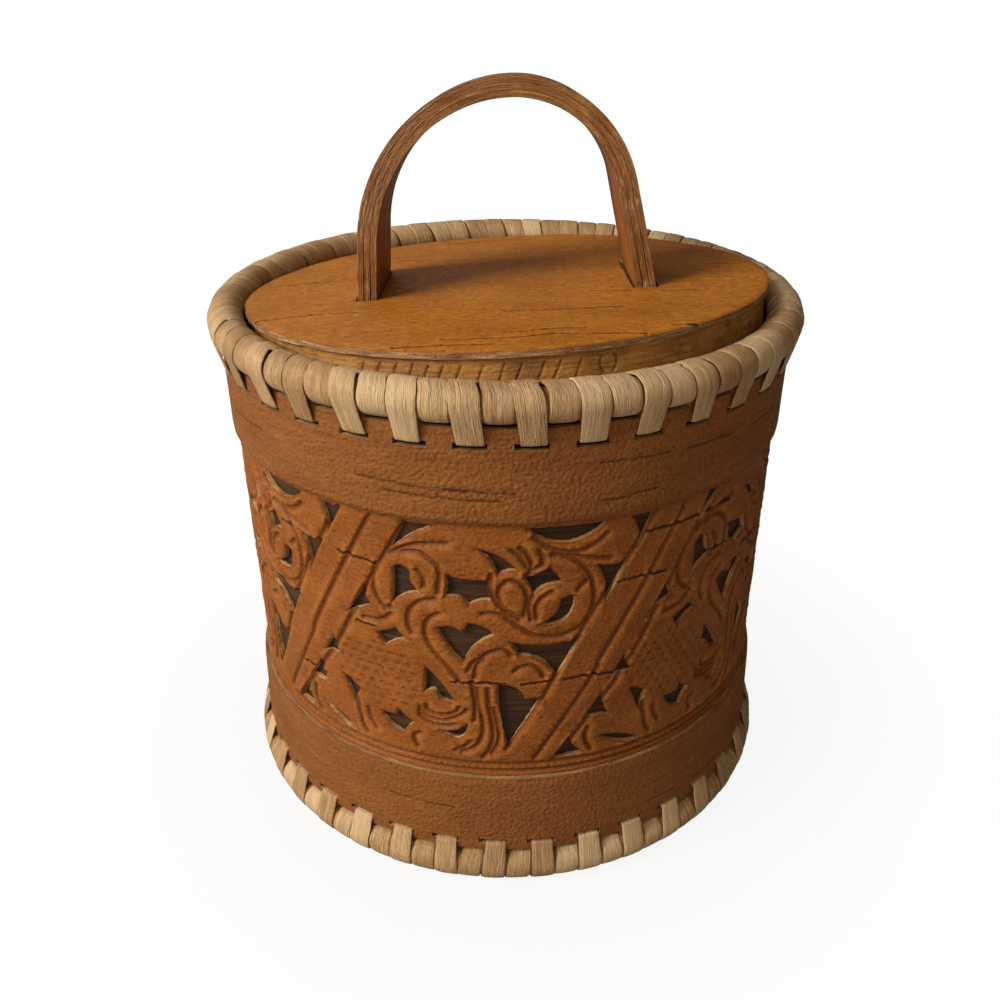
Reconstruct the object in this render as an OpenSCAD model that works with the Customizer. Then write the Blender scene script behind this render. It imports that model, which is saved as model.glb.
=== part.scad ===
// Birch bark box: rolled bark walls, a carved openwork sheet, two laced rims
// and a lift-off lid with a bent strap handle.
// Origin in the middle of the foot, on the ground. +Z is up and -Y is the front.
// Angles round the box are counted from the front towards +X.

/* [Box] */
// Height from the ground to the crown of the upper rim
box_h = 126.1; // [105:0.5:160]
// Outside diameter of the carved sheet
wall_d = 132.8; // [110:0.2:170]
// Thickness of the carved sheet
sheet_t = 1.3; // [0.8:0.1:1.8]
// Thickness of the plain bark tube inside the carved sheet
liner_t = 1.4; // [0.8:0.1:2]
// Gap between one rolled layer and the next
layer_gap = 0.1; // [0.05:0.01:0.2]
// Width of the joint where the ends of a rolled layer meet
seam_gap = 0.4; // [0.2:0.1:1]
// Angle of the joint of the plain inner tube
liner_seam = 120; // [90:5:270]

/* [Bands] */
// Height of the upper band that shows below the upper rim
upper_band_h = 25; // [20:0.5:32]
// Thickness of the upper band
upper_band_t = 1.2; // [0.8:0.1:1.8]
// Height of the lower band, from the ground to its top edge
lower_band_h = 30.6; // [24:0.5:36]
// Thickness of the lower band
lower_band_t = 1.4; // [0.8:0.1:1.8]
// How far the lower band stands out more at its foot than at its top edge
lower_band_flare = 0.7; // [0:0.1:1.2]
// How far the free edge of each band is pared down
band_bevel = 0.5; // [0.2:0.1:0.7]
// Angle of the joint of the upper band
upper_seam = 170; // [90:5:270]
// Angle of the joint of the lower band
lower_seam = 195; // [90:5:270]

/* [Laced rims] */
// Thickness of the upper rim, lacing included
rim_roll_d = 7.9; // [6.6:0.1:9]
// Thickness of the foot rim, lacing included
foot_roll_d = 8.8; // [7.6:0.1:10]
// How far the upper rim stands out from the middle of the wall
rim_offset = 0.4; // [0:0.05:0.8]
// How far the foot rim stands out from the middle of the wall
foot_offset = 0.75; // [0.2:0.05:1]
// Stitches of each length round the upper rim
rim_pairs = 36; // [24:1:40]
// Stitches of each length round the foot rim
foot_pairs = 38; // [24:1:40]
// Thickness of a lacing strip
lace_t = 0.5; // [0.3:0.05:0.7]
// Gap between two strips on the outside of a rim
lace_gap = 0.4; // [0.3:0.05:1]
// Long upper stitch, from the middle of the rim down to its slit
rim_long = 8.2; // [7:0.1:12]
// Long foot stitch, from the middle of the rim up to its slit
foot_long = 7.3; // [7:0.1:10]
// How far the short stitches go in from where rim and band meet
short_rise = 0.2; // [0.1:0.1:1.5]
// Clearance of a strip in its slit
slit_gap = 0.2; // [0.1:0.05:0.4]
// Angle of the first long upper stitch
rim_phase = 4; // [-5:0.5:5]
// Angle of the first long foot stitch
foot_phase = -2.5; // [-5:0.5:5]
// Depth of the flat that the foot rim stands on
foot_flat = 0.2; // [0.1:0.05:0.3]

/* [Floor] */
// Thickness of the bottom board
board_t = 6; // [4:0.5:10]
// Gap round the bottom board, and under it
board_gap = 0.25; // [0.15:0.05:0.5]

/* [Openwork] */
// Angle from one slanted bar to the next
repeat_angle = 59; // [57:0.5:60]
// Repeats of the pattern round the box
repeats = 6; // [5:1:6]
// Plain bark between the upper band and the openings
field_margin = 1.4; // [0.4:0.1:4]
// Plain border between the openings and the lower band
border_h = 3.9; // [1:0.1:8]

/* [Lid] */
// Gap between the lid and the laced mouth, all round
lid_gap = 0.4; // [0.3:0.1:12]
// Thickness of the top sheet
lid_t = 1.5; // [1.2:0.1:3]
// How far the top sheet overhangs its collar
lid_overhang = 1; // [0.8:0.1:3]
// Depth of the collar below the top sheet
collar_h = 12; // [11.5:0.5:20]
// Thickness of the collar
collar_t = 1.6; // [1:0.1:2.5]
// Thickness of the wooden core
core_t = 5; // [3:0.5:6]
// Thickness of the lining under the core
lining_t = 1; // [0.6:0.1:1.5]
// Height of the middle of the lid above the middle of the upper rim
lid_rise = 4.6; // [2:0.1:6]
// How far the front of the lid sits up in the mouth, in degrees
lid_tilt_front = 4.1; // [0:0.1:4.2]
// How far the right of the lid sits up in the mouth, in degrees
lid_tilt_right = 2.6; // [0:0.1:2.8]

/* [Handle] */
// Height of the handle above the lid
handle_h = 46.3; // [42:0.1:60]
// How far the crown stands to the right of the middle
crown_x = 2.9; // [0:0.1:5]
// Outside radius of the bend left of the crown
bend_left_r = 35.4; // [28:0.1:38]
// Outside radius of the bend right of the crown
bend_right_r = 27.8; // [24:0.1:38]
// Spread of the left leg, in degrees
splay_left = 5.5; // [0:0.5:8]
// Spread of the right leg, in degrees
splay_right = 10.3; // [0:0.1:12]
// Thickness of one of its three plies
ply_t = 1.45; // [1:0.05:1.8]
// Width of the strap at the lid
strap_foot_w = 31; // [24:0.5:36]
// Width of the strap at the crown
strap_crown_w = 21; // [16:0.5:24]
// Height at which the strap begins to narrow
strap_shoulder_h = 12; // [6:0.5:20]
// Clearance of the strap in its slots
slot_gap = 0.35; // [0.2:0.05:0.5]
// Length of strap under the lining
tail_h = 5; // [4.5:0.1:5.2]
// Diameter of the pegs that lock the strap
peg_d = 3; // [2:0.1:3.4]
// Length of a peg
peg_l = 12; // [9:0.5:16]
// Distance between the two pegs of one leg
peg_pitch = 16; // [10:0.5:20]
// Clearance of a peg in its hole
peg_gap = 0.1; // [0.05:0.05:0.2]

/* [Hidden] */
$fn = 96;
nip = 0.05; // gap between a hoop and what it grips
over = 1; // how far a cutter runs past what it cuts

// Radii of the rolled layers, from the inside out
wall_r = wall_d / 2;
sheet_in_r = wall_r - sheet_t;
liner_r = sheet_in_r - layer_gap;
liner_in_r = liner_r - liner_t;
band_in_r = wall_r + layer_gap;
upper_band_r = band_in_r + upper_band_t;
lower_band_top_r = band_in_r + lower_band_t;
lower_band_foot_r = lower_band_top_r + lower_band_flare;

// The two rims
rim_roll_r = rim_roll_d / 2;
foot_roll_r = foot_roll_d / 2;
rim_r = (liner_in_r + upper_band_r) / 2 + rim_offset;
foot_r = (liner_in_r + lower_band_foot_r) / 2 + foot_offset;
rim_z = box_h - rim_roll_r;
foot_z = foot_roll_r - foot_flat;
wall_over = 0.5; // how far the layers reach past the middle of a rim
wall_top = rim_z + wall_over;
wall_foot = foot_z - wall_over;
rim_short = short_tail(rim_roll_r, upper_band_r + nip - rim_r);
foot_short = short_tail(foot_roll_r, lower_band_foot_r + nip - foot_r);
rim_lace_a = lace_angle(rim_pairs, rim_r + rim_roll_r);
foot_lace_a = lace_angle(foot_pairs, foot_r + foot_roll_r);

// The floor, carried by the inner crest of the foot rim
board_r = liner_in_r - lace_t - 2 * board_gap;
board_z = foot_z + sqrt(pow(foot_roll_r, 2) - pow(foot_r - board_r, 2)) + board_gap;

// The carved field between the bands
field_top = rim_z - upper_band_h - field_margin;
field_foot = lower_band_h + border_h;
// Size of the field in which the pattern below is drawn, in mm
drawn_w = 68.4;
drawn_h = 61.2;

// The lid
lid_r = rim_r - rim_roll_r - lid_gap;
collar_r = lid_r - lid_overhang;
core_r = collar_r - collar_t - layer_gap;
core_z = -lid_t - core_t;
lining_z = core_z - lining_t;
handle_t = 3 * ply_t + 2 * nip;
leg_foot_z = lining_z - tail_h;
peg_z = lining_z - peg_d / 2 - peg_gap;

// Openings of one repeat, clockwise. Each corner is [mm round the wall, mm below the top of the
// field, bow of the side that follows it]: a bow above 0 swells the opening, one below 0 pinches it.
OPENINGS = [
    [[-20.8, 0, 0], [-14.5, 0, -0.6], [-24, 6.6, 0]],
    [[4, 0, 0], [21, 0, 3.8]],
    [[26.5, 0, 0], [32, 0, 0], [28, 7.6, -0.9]],
    [[-6.2, 4.8, 1.1], [2.4, 10, -0.6], [-1.8, 10.8, -1]],
    [[-12.7, 11.1, -0.8], [-3.7, 12, -0.5], [-3, 17, -0.5], [-7.7, 18.4, -0.9], [-12.6, 16.6, -0.4]],
    [[3.6, 11.6, -0.2], [9, 9.4, 0.2], [11.6, 13.4, -0.8], [5.6, 15.5, -0.3]],
    [[14.4, 16.8, 3.2], [6.8, 23.2, -1.4], [11.6, 17.3, 0.3]],
    [[19.2, 10, -0.7], [26.4, 9.9, 0], [21, 19.6, -1]],
    [[0.8, 27.6, -1.2], [16.2, 27.6, 0], [10.9, 37.3, -1.7], [2.6, 31, -0.3]],
    [[-1.8, 39, 1.5], [4, 43.2, 0], [7.9, 42.7, 0], [0.3, 56.4, 0.5]],
    [[-14.8, 25.2, 1.1], [-9.4, 25.6, 0], [-8, 23.1, 0.7], [-2.4, 25.8, -1.3], [-9.2, 33.6, 0.5]],
    [[-24.2, 11.6, 1.2], [-20.3, 11.9, -0.8], [-18.2, 16.6, -0.8], [-24.8, 20.4, -0.2]],
    [[-31.3, 17.6, -0.6], [-30, 22.8, -0.4], [-36.8, 26.4, 0]],
    [[-29.2, 29.2, -0.2], [-24.2, 26.9, -0.3], [-21.8, 29.3, -0.5], [-27.3, 32.4, 0]],
    [[-17.8, 36, 0.6], [-11.3, 45, 0.2], [-14.7, 43.9, -1.6], [-18.3, 42.8, 0]],
    [[-15, 53, -0.9], [-8.6, 50.6, 3.2]],
    [[-29.5, 51.4, 0], [-25.6, 51.4, 0], [-25, 49.4, -0.3], [-21.2, 52.2, -0.2], [-24.2, 56.3, 0.9]],
    [[-39.6, 44.6, 0.2], [-35, 47.2, -0.5], [-36.6, 52.2, 0.2]],
    [[-41.5, 34.4, -0.5], [-39.4, 39.8, -0.4], [-45, 40.1, 0]],
    [[-46.8, 43.2, -0.5], [-44.6, 51, -0.5], [-51.2, 50.3, 0]],
    [[-54.2, 54.9, -0.8], [-50, 60.5, -0.2], [-57.7, 61, 0]],
    [[-47.3, 56.4, 1.2], [-36, 61, 0.9]]
];
bow_steps = 3; // straight pieces in a bowed side
bend_steps = 24; // straight pieces in a bend of the handle

// One point of a bowed side: b is the bow, t runs from 0 to 1
function bowed(p, q, b, t) =
    let (d = [q.x - p.x, q.y - p.y], n = [d.y, -d.x] / norm(d))
    [p.x + d.x * t, p.y + d.y * t] + 4 * b * t * (1 - t) * n;

// All points of an opening, as drawn
function outline(c) = [
    for (i = [0 : len(c) - 1])
        let (p = c[i], q = c[(i + 1) % len(c)], n = p[2] == 0 ? 1 : bow_steps)
        for (j = [0 : n - 1]) bowed(p, q, p[2], j / n)
];

// Angle of a drawn place round the wall
function drawn_angle(u) = u / drawn_w * repeat_angle;

// Point of a circle about [0, 0] where the line to q touches it; side is 1 or -1
function touch(q, r, side) =
    let (a = atan2(q.y, q.x) + side * acos(r / norm(q))) [r * cos(a), r * sin(a)];

// Length of a short stitch's tail where the outer face of its band lies x from the middle of the rim
function short_tail(roll_r, x) = lace_t + sqrt(pow(roll_r - lace_t, 2) - x * x) + short_rise;

// Angle that a strip takes up, from the strips round a rim and its outside radius
function lace_angle(pairs, r) = 180 / pairs - lace_gap / r * 180 / PI;

// Angles of one row of stitches: long ones at whole steps and short ones halfway
function stitch_angles(pairs, phase, half) = [
    for (i = [0 : pairs - 1]) phase + (i + (half ? 0.5 : 0)) * 360 / pairs
];

// Turns what is built across the front round to an angle
module at(a) {
    rotate([0, 0, a]) children();
}

// Part of a ring about the front, a degrees wide, from a section in [radius, height]
module ring_part(a) {
    rotate([0, 0, -90 - a / 2]) rotate_extrude(angle = a) children();
}

// A rolled layer: a ring with a plain joint at the back, turned by a
module rolled(a, z, h) {
    difference() {
        rotate_extrude() children();
        at(a) translate([-seam_gap / 2, 0, z - over]) cube([seam_gap, wall_d, h + 2 * over]);
    }
}

// Section of a layer between two radii and two heights
module layer_section(r0, r1, z0, z1) {
    translate([r0, z0]) square([r1 - r0, z1 - z0]);
}

// Outline of a stitch: the rim's circle, cut off level with the tail, and the two lines down to its slit
module stitch_outline(r, q_out, q_in) {
    intersection() {
        circle(r);
        translate([-2 * r, q_out.y]) square(4 * r);
    }
    polygon([touch(q_out, r, 1), q_out, q_in, touch(q_in, r, -1), [0, 0]]);
}

// Section of a stitch round a rim at r0, its tail hanging down past walls from in_r to out_r
module stitch_section(r0, roll_r, in_r, out_r, tail) {
    translate([r0, 0]) difference() {
        stitch_outline(roll_r, [out_r + nip + lace_t - r0, -tail], [in_r - nip - lace_t - r0, -tail]);
        stitch_outline(roll_r - lace_t, [out_r + nip - r0, lace_t - tail], [in_r - nip - r0, lace_t - tail]);
    }
}

// Slits in a layer for one row of stitches, low being the underside of their tails
module slits(angles, lace_a, low) {
    slit_a = lace_a + 2 * slit_gap / wall_r * 180 / PI;
    for (a = angles)
        at(a) ring_part(slit_a) layer_section(
            liner_in_r - over, lower_band_foot_r + over, low - slit_gap, low + lace_t + slit_gap);
}

module rim_slits() {
    slits(stitch_angles(rim_pairs, rim_phase, false), rim_lace_a, rim_z - rim_long);
    slits(stitch_angles(rim_pairs, rim_phase, true), rim_lace_a, rim_z - rim_short);
}

module foot_slits() {
    slits(stitch_angles(foot_pairs, foot_phase, false), foot_lace_a, foot_z + foot_long - lace_t);
    slits(stitch_angles(foot_pairs, foot_phase, true), foot_lace_a, foot_z + foot_short - lace_t);
}

// A cutter through the carved sheet for one opening
module opening(c) {
    pts = outline(c);
    mid = (min([for (p = pts) p.x]) + max([for (p = pts) p.x])) / 2;
    deep = (field_top - field_foot) / drawn_h;
    at(drawn_angle(mid)) rotate([90, 0, 0]) translate([0, 0, sheet_in_r - over])
        linear_extrude(sheet_t + 2 * over)
            polygon([for (p = pts)
                [wall_r * sin(drawn_angle(p.x - mid)), field_top - p.y * deep]]);
}

// Half of the bundle of hoops in a rim, in [radius, height] with the walls coming from below
module hoop_section(r0, bundle_r, in_r, out_r, outer) {
    mid = (in_r + out_r) / 2;
    difference() {
        intersection() {
            translate([r0, 0]) circle(bundle_r);
            translate([outer ? mid + nip / 2 : mid - nip / 2 - 2 * bundle_r, -bundle_r])
                square(2 * bundle_r);
        }
        layer_section(in_r - nip, out_r + nip, -bundle_r - over, wall_over + nip);
    }
}

module rim_hoop(outer) {
    translate([0, 0, rim_z]) rotate_extrude()
        hoop_section(rim_r, rim_roll_r - lace_t - nip, liner_in_r, upper_band_r, outer);
}

module foot_hoop(outer) {
    difference() {
        translate([0, 0, foot_z]) mirror([0, 0, 1]) rotate_extrude()
            hoop_section(foot_r, foot_roll_r - lace_t - nip, liner_in_r, lower_band_foot_r, outer);
        ground();
    }
}

// Everything below the ground plane
module ground() {
    translate([0, 0, -foot_roll_d]) cylinder(h = foot_roll_d, r = wall_d);
}

module rim_lacing(half, tail) {
    translate([0, 0, rim_z])
        for (a = stitch_angles(rim_pairs, rim_phase, half))
            at(a) ring_part(rim_lace_a)
                stitch_section(rim_r, rim_roll_r, liner_in_r, upper_band_r, tail);
}

module foot_lacing(half, tail) {
    for (a = stitch_angles(foot_pairs, foot_phase, half))
        at(a) difference() {
            translate([0, 0, foot_z]) mirror([0, 0, 1]) ring_part(foot_lace_a)
                stitch_section(foot_r, foot_roll_r, liner_in_r, lower_band_foot_r, tail);
            translate([-foot_roll_d, -foot_r - foot_roll_d, -foot_roll_d])
                cube([2 * foot_roll_d, 2 * foot_roll_d, foot_roll_d]);
        }
}

module bottom_board() {
    color("#b98f5a") translate([0, 0, board_z]) cylinder(h = board_t, r = board_r);
}

module inner_wall() {
    color("#4d3a28") difference() {
        rolled(liner_seam, wall_foot, wall_top - wall_foot)
            layer_section(liner_in_r, liner_r, wall_foot, wall_top);
        rim_slits();
        foot_slits();
    }
}

module carved_wall() {
    color("#a8642c") difference() {
        rotate_extrude() layer_section(sheet_in_r, wall_r, wall_foot, wall_top);
        rim_slits();
        foot_slits();
        for (k = [0 : repeats - 1]) at((k - 2) * repeat_angle)
            for (c = OPENINGS) opening(c);
    }
}

module upper_band() {
    low = rim_z - upper_band_h;
    color("#a06a42") difference() {
        rolled(upper_seam, low, wall_top - low) polygon([
            [band_in_r, low], [upper_band_r - band_bevel, low],
            [upper_band_r, low + 2 * band_bevel], [upper_band_r, wall_top], [band_in_r, wall_top]]);
        rim_slits();
    }
}

module lower_band() {
    color("#a06a42") difference() {
        rolled(lower_seam, wall_foot, lower_band_h - wall_foot) polygon([
            [band_in_r, lower_band_h], [lower_band_top_r - band_bevel, lower_band_h],
            [lower_band_top_r, lower_band_h - 2 * band_bevel], [lower_band_foot_r, foot_z + foot_long],
            [lower_band_foot_r, wall_foot], [band_in_r + lower_band_flare, wall_foot],
            [band_in_r + lower_band_flare, foot_z + foot_long]]);
        foot_slits();
    }
}

module rim_hoop_outer() {
    color("#8a6238") rim_hoop(true);
}

module rim_hoop_inner() {
    color("#8a6238") rim_hoop(false);
}

module rim_lacing_long() {
    color("#c8a573") rim_lacing(false, rim_long);
}

module rim_lacing_short() {
    color("#c8a573") rim_lacing(true, rim_short);
}

module foot_hoop_outer() {
    color("#8a6238") foot_hoop(true);
}

module foot_hoop_inner() {
    color("#8a6238") foot_hoop(false);
}

module foot_lacing_long() {
    color("#c8a573") foot_lacing(false, foot_long);
}

module foot_lacing_short() {
    color("#c8a573") foot_lacing(true, foot_short);
}

// Sets a piece of the lid, built with the top of its sheet at height 0, in the mouth of the box
module on_box() {
    translate([0, 0, rim_z + lid_rise]) rotate([-lid_tilt_front, -lid_tilt_right, 0]) children();
}

// The handle's two sides, left of the crown (-1) and right of it (1)
function bend_r(side) = side < 0 ? bend_left_r : bend_right_r;
function bend_z(side) = handle_h - bend_r(side);
function splay(side) = side < 0 ? splay_left : splay_right;

// Where a leg's face d under its outer face stands at height z
function leg_x(side, d, z) =
    let (r = bend_r(side) - d, s = splay(side))
    crown_x + side * (r * cos(s) + (bend_z(side) + r * sin(s) - z) * tan(s));

module handle_slots() {
    for (side = [-1, 1])
        translate([leg_x(side, handle_t / 2, 0), 0, 0]) rotate([0, -side * splay(side), 0])
            cube([handle_t + 2 * slot_gap, strap_foot_w + 2 * slot_gap, -3 * lining_z], center = true);
}

module lid_disc(r, z, h) {
    difference() {
        translate([0, 0, z]) cylinder(h = h, r = r);
        handle_slots();
    }
}

// Place on a bend, d under the handle's outer face and a degrees above the middle of the bend
function bend_point(side, d, a) =
    let (r = bend_r(side) - d) [crown_x + side * r * cos(a), bend_z(side) + r * sin(a)];

// The handle's line d under its outer face, from the left foot at height z over to the right one
function arch(d, z) = [
    [leg_x(-1, d, z), z],
    for (i = [0 : bend_steps]) bend_point(-1, d, splay_left + (90 - splay_left) * i / bend_steps),
    for (i = [bend_steps - 1 : -1 : 0])
        bend_point(1, d, splay_right + (90 - splay_right) * i / bend_steps),
    [leg_x(1, d, z), z]
];

function reversed(points) = [for (i = [len(points) - 1 : -1 : 0]) points[i]];

// Strap as seen from the side, narrowing above its shoulder
module strap_side() {
    foot = strap_foot_w / 2;
    crown = strap_crown_w / 2;
    polygon([
        [-foot, leg_foot_z], [foot, leg_foot_z], [foot, strap_shoulder_h],
        [crown, handle_h + over], [-crown, handle_h + over], [-foot, strap_shoulder_h]]);
}

// One ply of the strap, n plies in from the outside
module ply(n) {
    d = n * (ply_t + nip);
    reach = bend_left_r + bend_right_r;
    difference() {
        intersection() {
            translate([0, strap_foot_w, 0]) rotate([90, 0, 0]) linear_extrude(2 * strap_foot_w)
                polygon(concat(arch(d, leg_foot_z), reversed(arch(d + ply_t, leg_foot_z))));
            translate([-reach, 0, 0]) rotate([90, 0, 90]) linear_extrude(2 * reach) strap_side();
        }
        pegs(peg_d + 2 * peg_gap, 2 * peg_l);
    }
}

// Two round pegs across each leg, just under the lining
module pegs(d, l) {
    for (side = [-1, 1], y = [-peg_pitch / 2, peg_pitch / 2])
        translate([leg_x(side, handle_t / 2, peg_z) - l / 2, y, peg_z])
            rotate([0, 90, 0]) cylinder(h = l, d = d);
}

module lid_sheet() {
    color("#a8622f") on_box() lid_disc(lid_r, -lid_t, lid_t);
}

module lid_core() {
    color("#c09a66") on_box() lid_disc(core_r, core_z, core_t);
}

module lid_collar() {
    color("#8c5c34") on_box() difference() {
        translate([0, 0, -lid_t - collar_h]) cylinder(h = collar_h, r = collar_r);
        translate([0, 0, -lid_t - collar_h - over])
            cylinder(h = collar_h + 2 * over, r = collar_r - collar_t);
    }
}

module lid_lining() {
    color("#b07a45") on_box() lid_disc(core_r, lining_z, lining_t);
}

module handle_outer_ply() {
    color("#96643a") on_box() ply(0);
}

module handle_core_ply() {
    color("#8a5a34") on_box() ply(1);
}

module handle_inner_ply() {
    color("#a5652e") on_box() ply(2);
}

module handle_pegs() {
    color("#b98f5a") on_box() pegs(peg_d, peg_l);
}

bottom_board();
inner_wall();
carved_wall();
upper_band();
lower_band();
rim_hoop_outer();
rim_hoop_inner();
rim_lacing_long();
rim_lacing_short();
foot_hoop_outer();
foot_hoop_inner();
foot_lacing_long();
foot_lacing_short();
lid_sheet();
lid_core();
lid_collar();
lid_lining();
handle_outer_ply();
handle_core_ply();
handle_inner_ply();
handle_pegs();
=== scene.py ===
import math
import random

import bpy
import numpy as np
from mathutils import Matrix, Vector, kdtree, noise
from mathutils.geometry import delaunay_2d_cdt


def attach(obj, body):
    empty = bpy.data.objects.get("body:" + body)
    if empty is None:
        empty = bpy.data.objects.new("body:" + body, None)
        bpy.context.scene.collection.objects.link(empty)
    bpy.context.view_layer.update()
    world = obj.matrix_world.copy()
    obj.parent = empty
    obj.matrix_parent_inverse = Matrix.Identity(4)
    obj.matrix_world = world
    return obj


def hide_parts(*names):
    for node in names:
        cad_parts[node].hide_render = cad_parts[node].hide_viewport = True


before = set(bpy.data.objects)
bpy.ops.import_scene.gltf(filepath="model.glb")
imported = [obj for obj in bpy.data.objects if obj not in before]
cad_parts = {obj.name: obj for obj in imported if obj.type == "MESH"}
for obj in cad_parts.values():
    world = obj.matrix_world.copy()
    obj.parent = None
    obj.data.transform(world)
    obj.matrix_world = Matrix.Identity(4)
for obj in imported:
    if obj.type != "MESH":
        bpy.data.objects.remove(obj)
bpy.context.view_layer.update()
random.seed(4)
print("frame loaded")

# Sizes in mm, as in the part's source; angles round the box go from the front towards +X
box = dict(wallR=66.4, sheetIn=65.1, linerR=65.0, linerIn=63.6, bandIn=66.5, upperR=67.7, lowerR=67.9,
           footR=68.6, wallTop=122.65, wallFoot=3.7, fieldTop=95.75, upperLow=97.15, lowerTop=30.6)
# lift and swell: how much higher and thicker a laced rim is at the front than at the back
rim = dict(centreR=66.05, centreZ=122.15, rollR=3.95, outR=67.7, long=8.2, short=3.7, sign=1,
           pairs=36, phase=4, lift=0.5, swell=0.25)
foot = dict(centreR=66.85, centreZ=4.2, rollR=4.34, outR=68.6, long=7.3, short=4.2, sign=-1,
            pairs=38, phase=-2.5, lift=0, swell=0)
# slant is in degrees, from one hole to the next on the inside
lace = dict(thick=0.5, gap=0.42, slant=2.6)
# Where the two ends of each rolled layer meet, in degrees
seams = dict(liner=120, upper=170, lower=195, carved=185)

# The photograph's camera: place in m, lens in mm, angles in radians
view = dict(place=(0, -0.23497, 0.19446), lens=35.64, pitch=0.4997, yaw=-0.0066, roll=-0.0068)
camera = bpy.data.objects.new("camera", bpy.data.cameras.new("camera"))
camera.data.lens = view["lens"]
camera.data.clip_start = 0.01
camera.matrix_world = (Matrix.Translation(view["place"]) @ Matrix.Rotation(-view["yaw"], 4, "Z")
                       @ Matrix.Rotation(math.pi / 2 - view["pitch"], 4, "X")
                       @ Matrix.Rotation(view["roll"], 4, "Z"))
bpy.context.scene.collection.objects.link(camera)
bpy.context.scene.camera = camera
bpy.context.scene.view_settings.view_transform = "Standard"


def linear(code):
    parts = [int(code[i:i + 2], 16) / 255 for i in (1, 3, 5)]
    return [c / 12.92 if c <= 0.04045 else ((c + 0.055) / 1.055) ** 2.4 for c in parts] + [1.0]


def addNode(tree, kind, **given):
    # given: attributes, then sockets by name, with _ for a space, or by number, as in0; a socket takes
    # another node's output or a plain value
    node = tree.nodes.new("ShaderNode" + kind)
    for key, value in given.items():
        numbered = key[2:].isdigit()
        if key[0].islower() and not numbered:
            setattr(node, key, value)
            continue
        socket = node.inputs[int(key[2:]) if numbered else key.replace("_", " ")]
        if isinstance(value, bpy.types.NodeSocket):
            tree.links.new(value, socket)
        else:
            socket.default_value = value
    return node


def newMaterial(name):
    material = bpy.data.materials.new(name)
    material.use_nodes = True
    tree = material.node_tree
    tree.nodes.clear()
    return material, tree


lamps = [  # name, place, aim, size, watts, colour
    ("windowLamp", (-0.78, -0.42, 0.72), (0, 0, 0.08), 0.55, 17.0, "#FFF8EE"),
    ("frontLamp", (-0.16, -1.0, 0.6), (0, 0, 0.07), 0.7, 3.1, "#FFF0DE"),
    ("backLamp", (-0.3, 0.8, 0.8), (0, 0, 0.1), 0.5, 1.4, "#FFFFFF"),
]
for name, place, aim, size, watts, colour in lamps:
    lamp = bpy.data.objects.new(name, bpy.data.lights.new(name, "AREA"))
    lamp.data.size = size
    lamp.data.energy = watts
    lamp.data.color = linear(colour)[:3]
    lamp.location = place
    lamp.rotation_euler = (Vector(aim) - Vector(place)).to_track_quat("-Z", "Y").to_euler()
    bpy.context.scene.collection.objects.link(lamp)

# Warm fill light, and a paper that shows only close to the box, fading out to plain white; lengths in m
room = dict(fill="#FADFB6", fillStrength=0.17, white="#FFFFFF", paper="#A39C93", paperRough=0.9, glow=1.05,
            fadeFrom=0.07, fadeTo=0.2, nearGlow=0.86, floorHalf=4, floorDrop=0.0002)
world = bpy.data.worlds.new("studio")
world.use_nodes = True
tree = world.node_tree
tree.nodes.clear()
path = addNode(tree, "LightPath")
ambient = addNode(tree, "Background", Color=linear(room["fill"]), Strength=room["fillStrength"])
backdrop = addNode(tree, "Background", Color=linear(room["white"]), Strength=1.0)
mix = addNode(tree, "MixShader", in0=path.outputs["Is Camera Ray"], in1=ambient.outputs[0],
              in2=backdrop.outputs[0])
addNode(tree, "OutputWorld", Surface=mix.outputs[0])
bpy.context.scene.world = world

# Matte paper sweep, seen as white with a faint soft shadow
material, tree = newMaterial("paleStudioPaper")
path = addNode(tree, "LightPath")
paper = addNode(tree, "BsdfPrincipled", Base_Color=linear(room["paper"]), Roughness=room["paperRough"])
glow = addNode(tree, "Emission", Color=linear(room["white"]), Strength=room["glow"])
spot = addNode(tree, "TexCoord")
reach = addNode(tree, "VectorMath", operation="LENGTH", in0=spot.outputs["Object"])
fade = addNode(tree, "MapRange", in0=reach.outputs["Value"], in1=room["fadeFrom"], in2=room["fadeTo"],
               in3=room["nearGlow"], in4=1.0)
seen = addNode(tree, "Math", operation="MULTIPLY", in0=path.outputs["Is Camera Ray"], in1=fade.outputs[0])
mix = addNode(tree, "MixShader", in0=seen.outputs[0], in1=paper.outputs[0], in2=glow.outputs[0])
addNode(tree, "OutputMaterial", Surface=mix.outputs[0])
floorMesh = bpy.data.meshes.new("studioFloor")
half = room["floorHalf"]
corners = [(-half, -half, 0), (half, -half, 0), (half, half, 0), (-half, half, 0)]
floorMesh.from_pydata(corners, [], [(0, 1, 2, 3)])
floorMesh.materials.append(material)
floor = bpy.data.objects.new("studioFloor", floorMesh)
floor.location.z = -room["floorDrop"]
bpy.context.scene.collection.objects.link(floor)
print("camera, lamps and floor set")


# Shares and strengths of a bark that doesn't name its own; depth is the bump's height in mm
plainLook = dict(attribute=True, blotchy=0.6, streaky=0.5, porous=0.35, flecked=0.75, streakBump=0.4,
                 poreBump=0.6, pebbled=0.5, grained=0.3, grooveShaded=0.7, highlighted=0.5, cracked=0.95, toned=0.55,
                 bump=0.5, depth=0.3, sheen=0.08, ior=1.45, specular=0.35, tearing=(1.2, 0.5, 2.0))
# Values of a noise or a relief over which each tone fades in, from none to its full share
fadeIn = dict(blotch=(0.35, 0.75), pale=(0.52, 0.75), dark=(0.46, 0.24), pore=(0.44, 0.28),
              fleck=(0.3, 0.2), grain=(0.45, 0.8), groove=(-0.1, -0.9), ridge=(0.2, 1.0), tear=(0.3, 0.5),
              crack=(0.1, 0.45), dull=(0.5, 0.0), bright=(0.5, 1.0), shine=(0.3, 0.7))


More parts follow.
